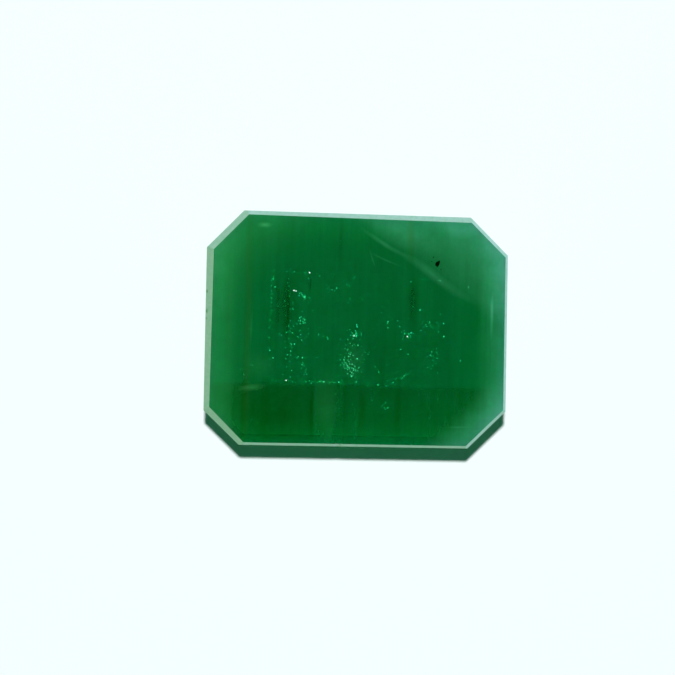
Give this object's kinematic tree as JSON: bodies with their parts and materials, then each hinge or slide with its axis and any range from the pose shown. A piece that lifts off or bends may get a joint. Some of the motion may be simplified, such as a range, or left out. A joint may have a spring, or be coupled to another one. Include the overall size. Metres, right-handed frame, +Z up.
{
  "type": "cut emerald gemstone",
  "caption": "Octagonal step-cut green gemstone with a wide flat table, a thin bevelled crown and a flat culet to rest on.",
  "frame": {"origin": "middle of the footprint, on the plane of the flat culet that the stone rests on", "axes": "+X along the stone's length, +Y across it towards its back edge, +Z up out of the table"},
  "size_m": [0.012, 0.0094, 0.0046],
  "materials": {
    "emerald": "polished green beryl, see-through but cloudy with inclusions, its narrow crown bevels left finely frosted"
  },
  "bodies": {
    "root": {"emerald": "emerald"}
  },
  "joints": []
}
